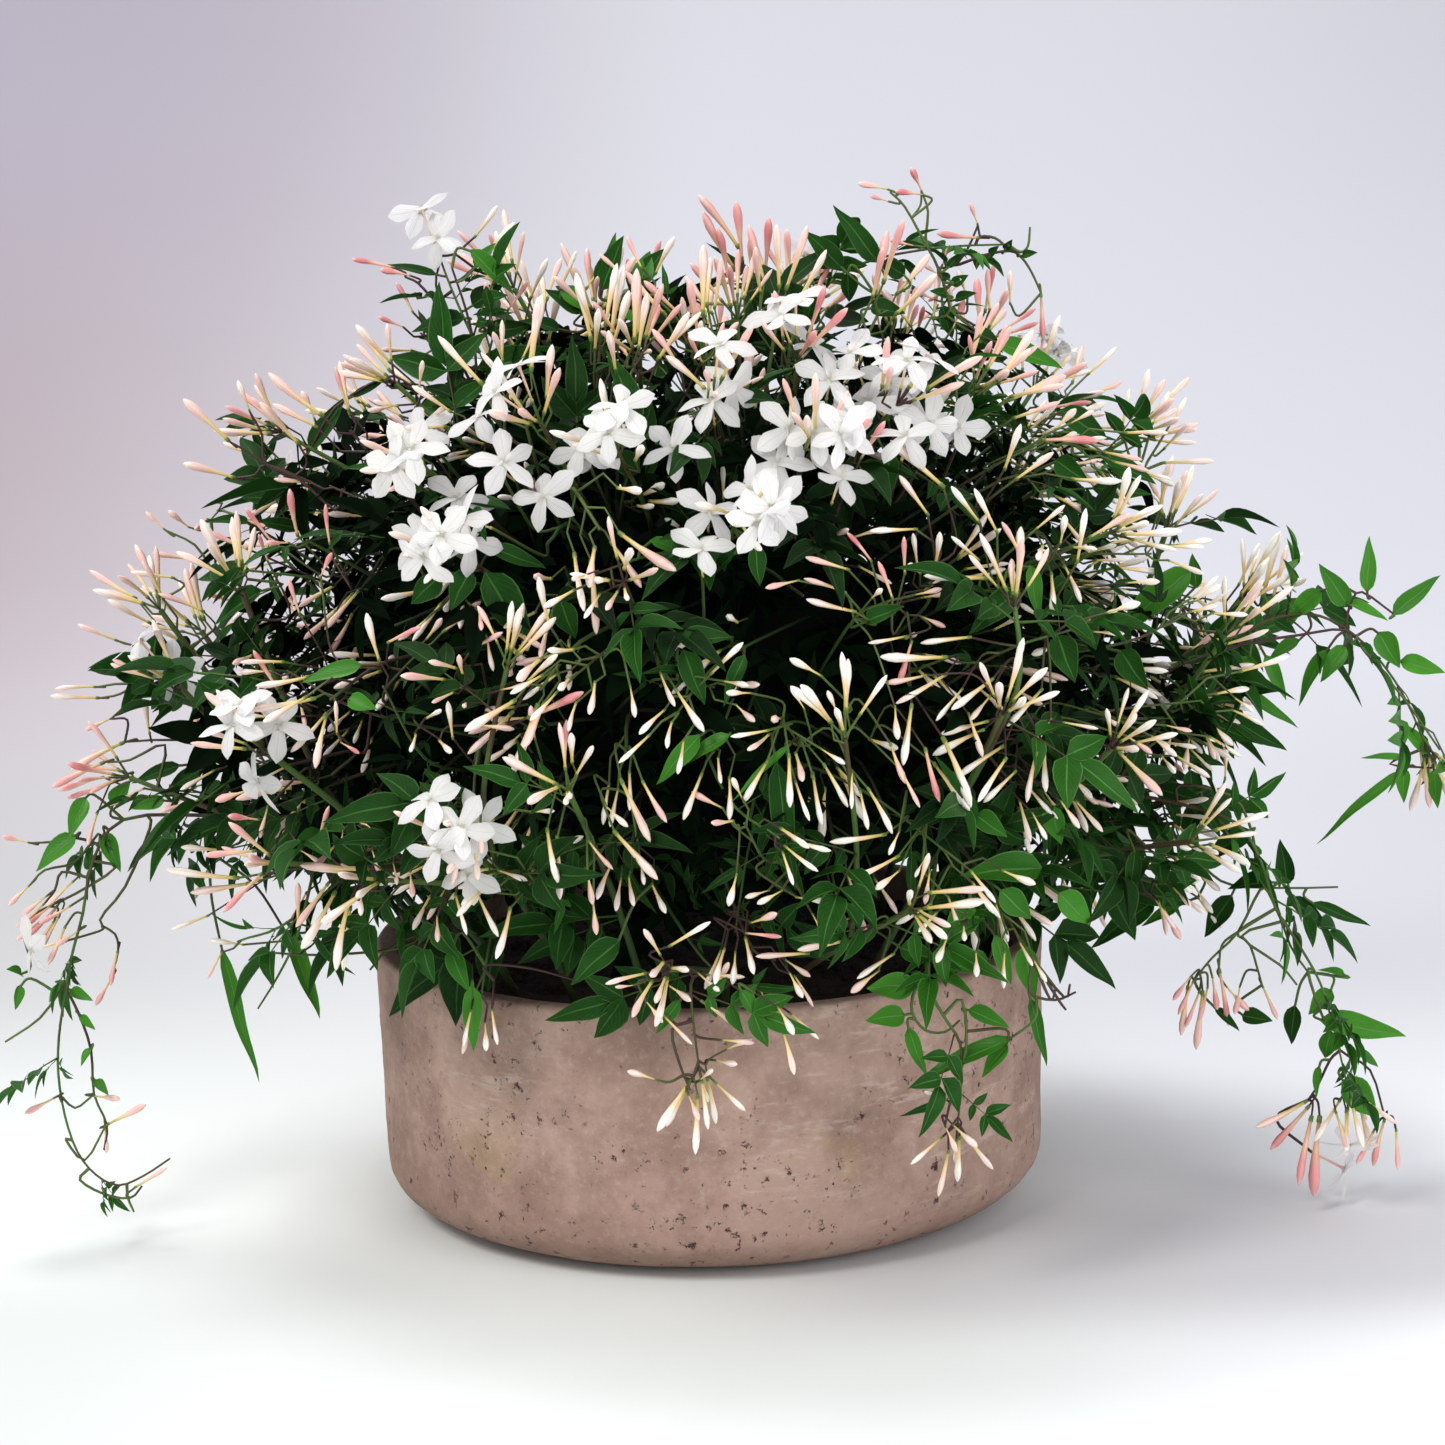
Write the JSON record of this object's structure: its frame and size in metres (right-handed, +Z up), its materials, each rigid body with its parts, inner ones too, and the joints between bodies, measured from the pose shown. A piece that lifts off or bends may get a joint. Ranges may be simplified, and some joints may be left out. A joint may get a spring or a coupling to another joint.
{
  "type": "potted jasmine",
  "caption": "Flowering twining plant in a low round stone pot: a dome of leafy stems, bud sprays and star flowers that trails over the rim.",
  "frame": {"origin": "centre of the pot's flat base, on the surface it stands on", "axes": "+Z up; -Y towards the picture's camera; +X to the right in the picture"},
  "size_m": [0.5849, 0.4145, 0.4052],
  "materials": {
    "stone": "rough cast stone",
    "earth": "crumbly",
    "foliage": "glossy leaf",
    "petals": "soft petal"
  },
  "bodies": {
    "root": {"pot": "stone", "soil": "earth", "crown": "foliage", "vine_01": "foliage", "vine_02": "foliage", "vine_03": "foliage", "vine_04": "foliage", "vine_05": "foliage", "vine_06": "foliage", "vine_07": "foliage", "vine_08": "foliage", "vine_09": "foliage", "vine_10": "foliage", "vine_11": "foliage", "vine_12": "foliage", "vine_13": "foliage", "vine_14": "foliage", "vine_15": "foliage", "vine_16": "foliage", "vine_17": "foliage", "vine_18": "foliage", "vine_19": "foliage", "vine_20": "foliage", "vine_21": "foliage", "vine_22": "foliage", "vine_23": "foliage", "vine_24": "foliage", "bloom_01": "petals", "bloom_02": "petals", "bloom_03": "petals", "bloom_04": "petals", "bloom_05": "petals", "bloom_06": "petals", "bloom_07": "petals", "bloom_08": "petals", "bloom_09": "petals", "bloom_10": "petals", "bloom_11": "petals", "bloom_12": "petals", "bloom_13": "petals", "bloom_14": "petals", "bloom_15": "petals", "bloom_16": "petals", "bloom_17": "petals", "bloom_18": "petals", "bloom_19": "petals", "bloom_20": "petals", "bloom_21": "petals", "bloom_22": "petals"}
  },
  "joints": []
}
